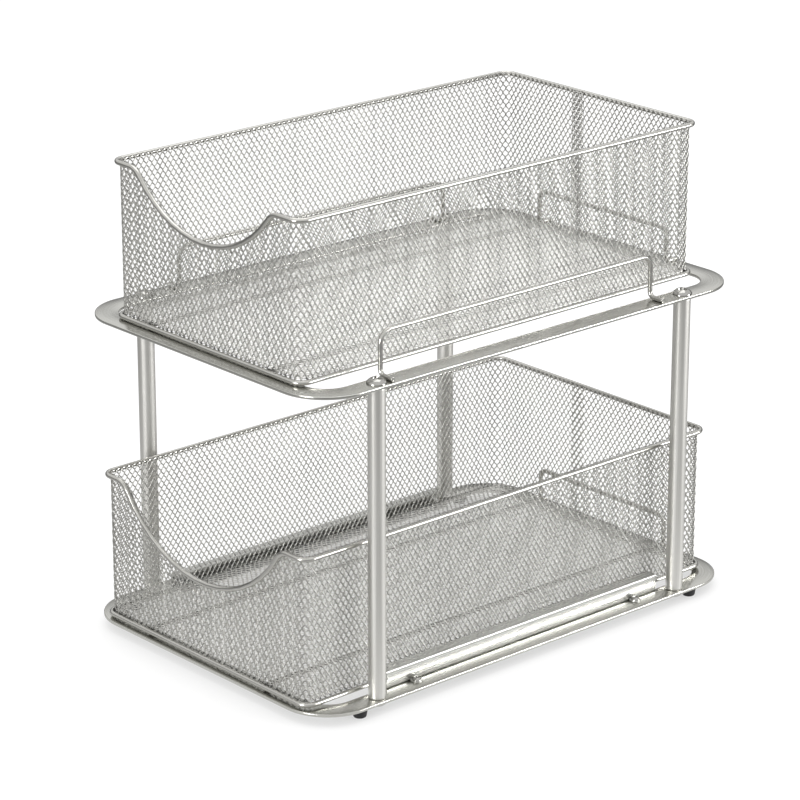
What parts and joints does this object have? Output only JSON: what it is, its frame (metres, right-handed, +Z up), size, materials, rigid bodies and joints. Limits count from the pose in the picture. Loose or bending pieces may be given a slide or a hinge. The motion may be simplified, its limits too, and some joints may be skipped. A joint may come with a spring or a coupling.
{
  "type": "under sink organizer",
  "caption": "Tiered under sink organizer: a ring and post frame whose wire guards and rails hold an upper and a lower mesh basket that slide forward.",
  "frame": {"origin": "on the floor, under the middle of the frame", "axes": "+X to the right, -Y to the front where the baskets are scooped and slide out, +Z up"},
  "size_m": [0.2362, 0.3556, 0.3112],
  "materials": {
    "ring_strip": "satin nickel plate on flat steel strip",
    "post_tube": "satin nickel plate on drawn steel tube",
    "guard_wire": "bright nickel plate on drawn wire",
    "basket_wire": "bright nickel plate on drawn wire",
    "basket_mesh": "silver finish on expanded steel mesh",
    "rail_sheet": "satin nickel plate on folded steel sheet",
    "screw": "bright nickel plate",
    "insert": "zinc plate",
    "foot_rubber": "matt black moulded rubber"
  },
  "bodies": {
    "frame": {"lower_ring": "ring_strip", "upper_ring": "ring_strip", "post_front_left": "post_tube", "post_front_right": "post_tube", "post_rear_left": "post_tube", "post_rear_right": "post_tube", "foot_front_left": "foot_rubber", "foot_front_right": "foot_rubber", "foot_rear_left": "foot_rubber", "foot_rear_right": "foot_rubber", "post_inserts": "insert", "post_top_screws": "screw", "post_bottom_screws": "screw", "rail_left": "rail_sheet", "rail_right": "rail_sheet", "rail_screws": "screw", "rail_nuts": "screw", "upper_guard_left": "guard_wire", "upper_guard_right": "guard_wire", "upper_guard_rear": "guard_wire", "lower_guard_rear": "guard_wire"},
    "upper_basket": {"upper_top_rim": "basket_wire", "upper_bottom_rim": "basket_wire", "upper_floor_wire_left": "basket_wire", "upper_floor_wire_right": "basket_wire", "upper_mesh_front": "basket_mesh", "upper_mesh_rear": "basket_mesh", "upper_mesh_left": "basket_mesh", "upper_mesh_right": "basket_mesh", "upper_mesh_floor": "basket_mesh", "upper_mesh_corners": "basket_mesh"},
    "lower_basket": {"lower_top_rim": "basket_wire", "lower_bottom_rim": "basket_wire", "lower_floor_wire_left": "basket_wire", "lower_floor_wire_right": "basket_wire", "lower_mesh_front": "basket_mesh", "lower_mesh_rear": "basket_mesh", "lower_mesh_left": "basket_mesh", "lower_mesh_right": "basket_mesh", "lower_mesh_floor": "basket_mesh", "lower_mesh_corners": "basket_mesh"}
  },
  "joints": [
    {"name": "upper_basket_slide", "type": "slide", "parent": "frame", "child": "upper_basket", "axis": [0, -1, 0], "range_m": [0, 0.15]},
    {"name": "lower_basket_slide", "type": "slide", "parent": "frame", "child": "lower_basket", "axis": [0, -1, 0], "range_m": [0, 0.24]}
  ]
}
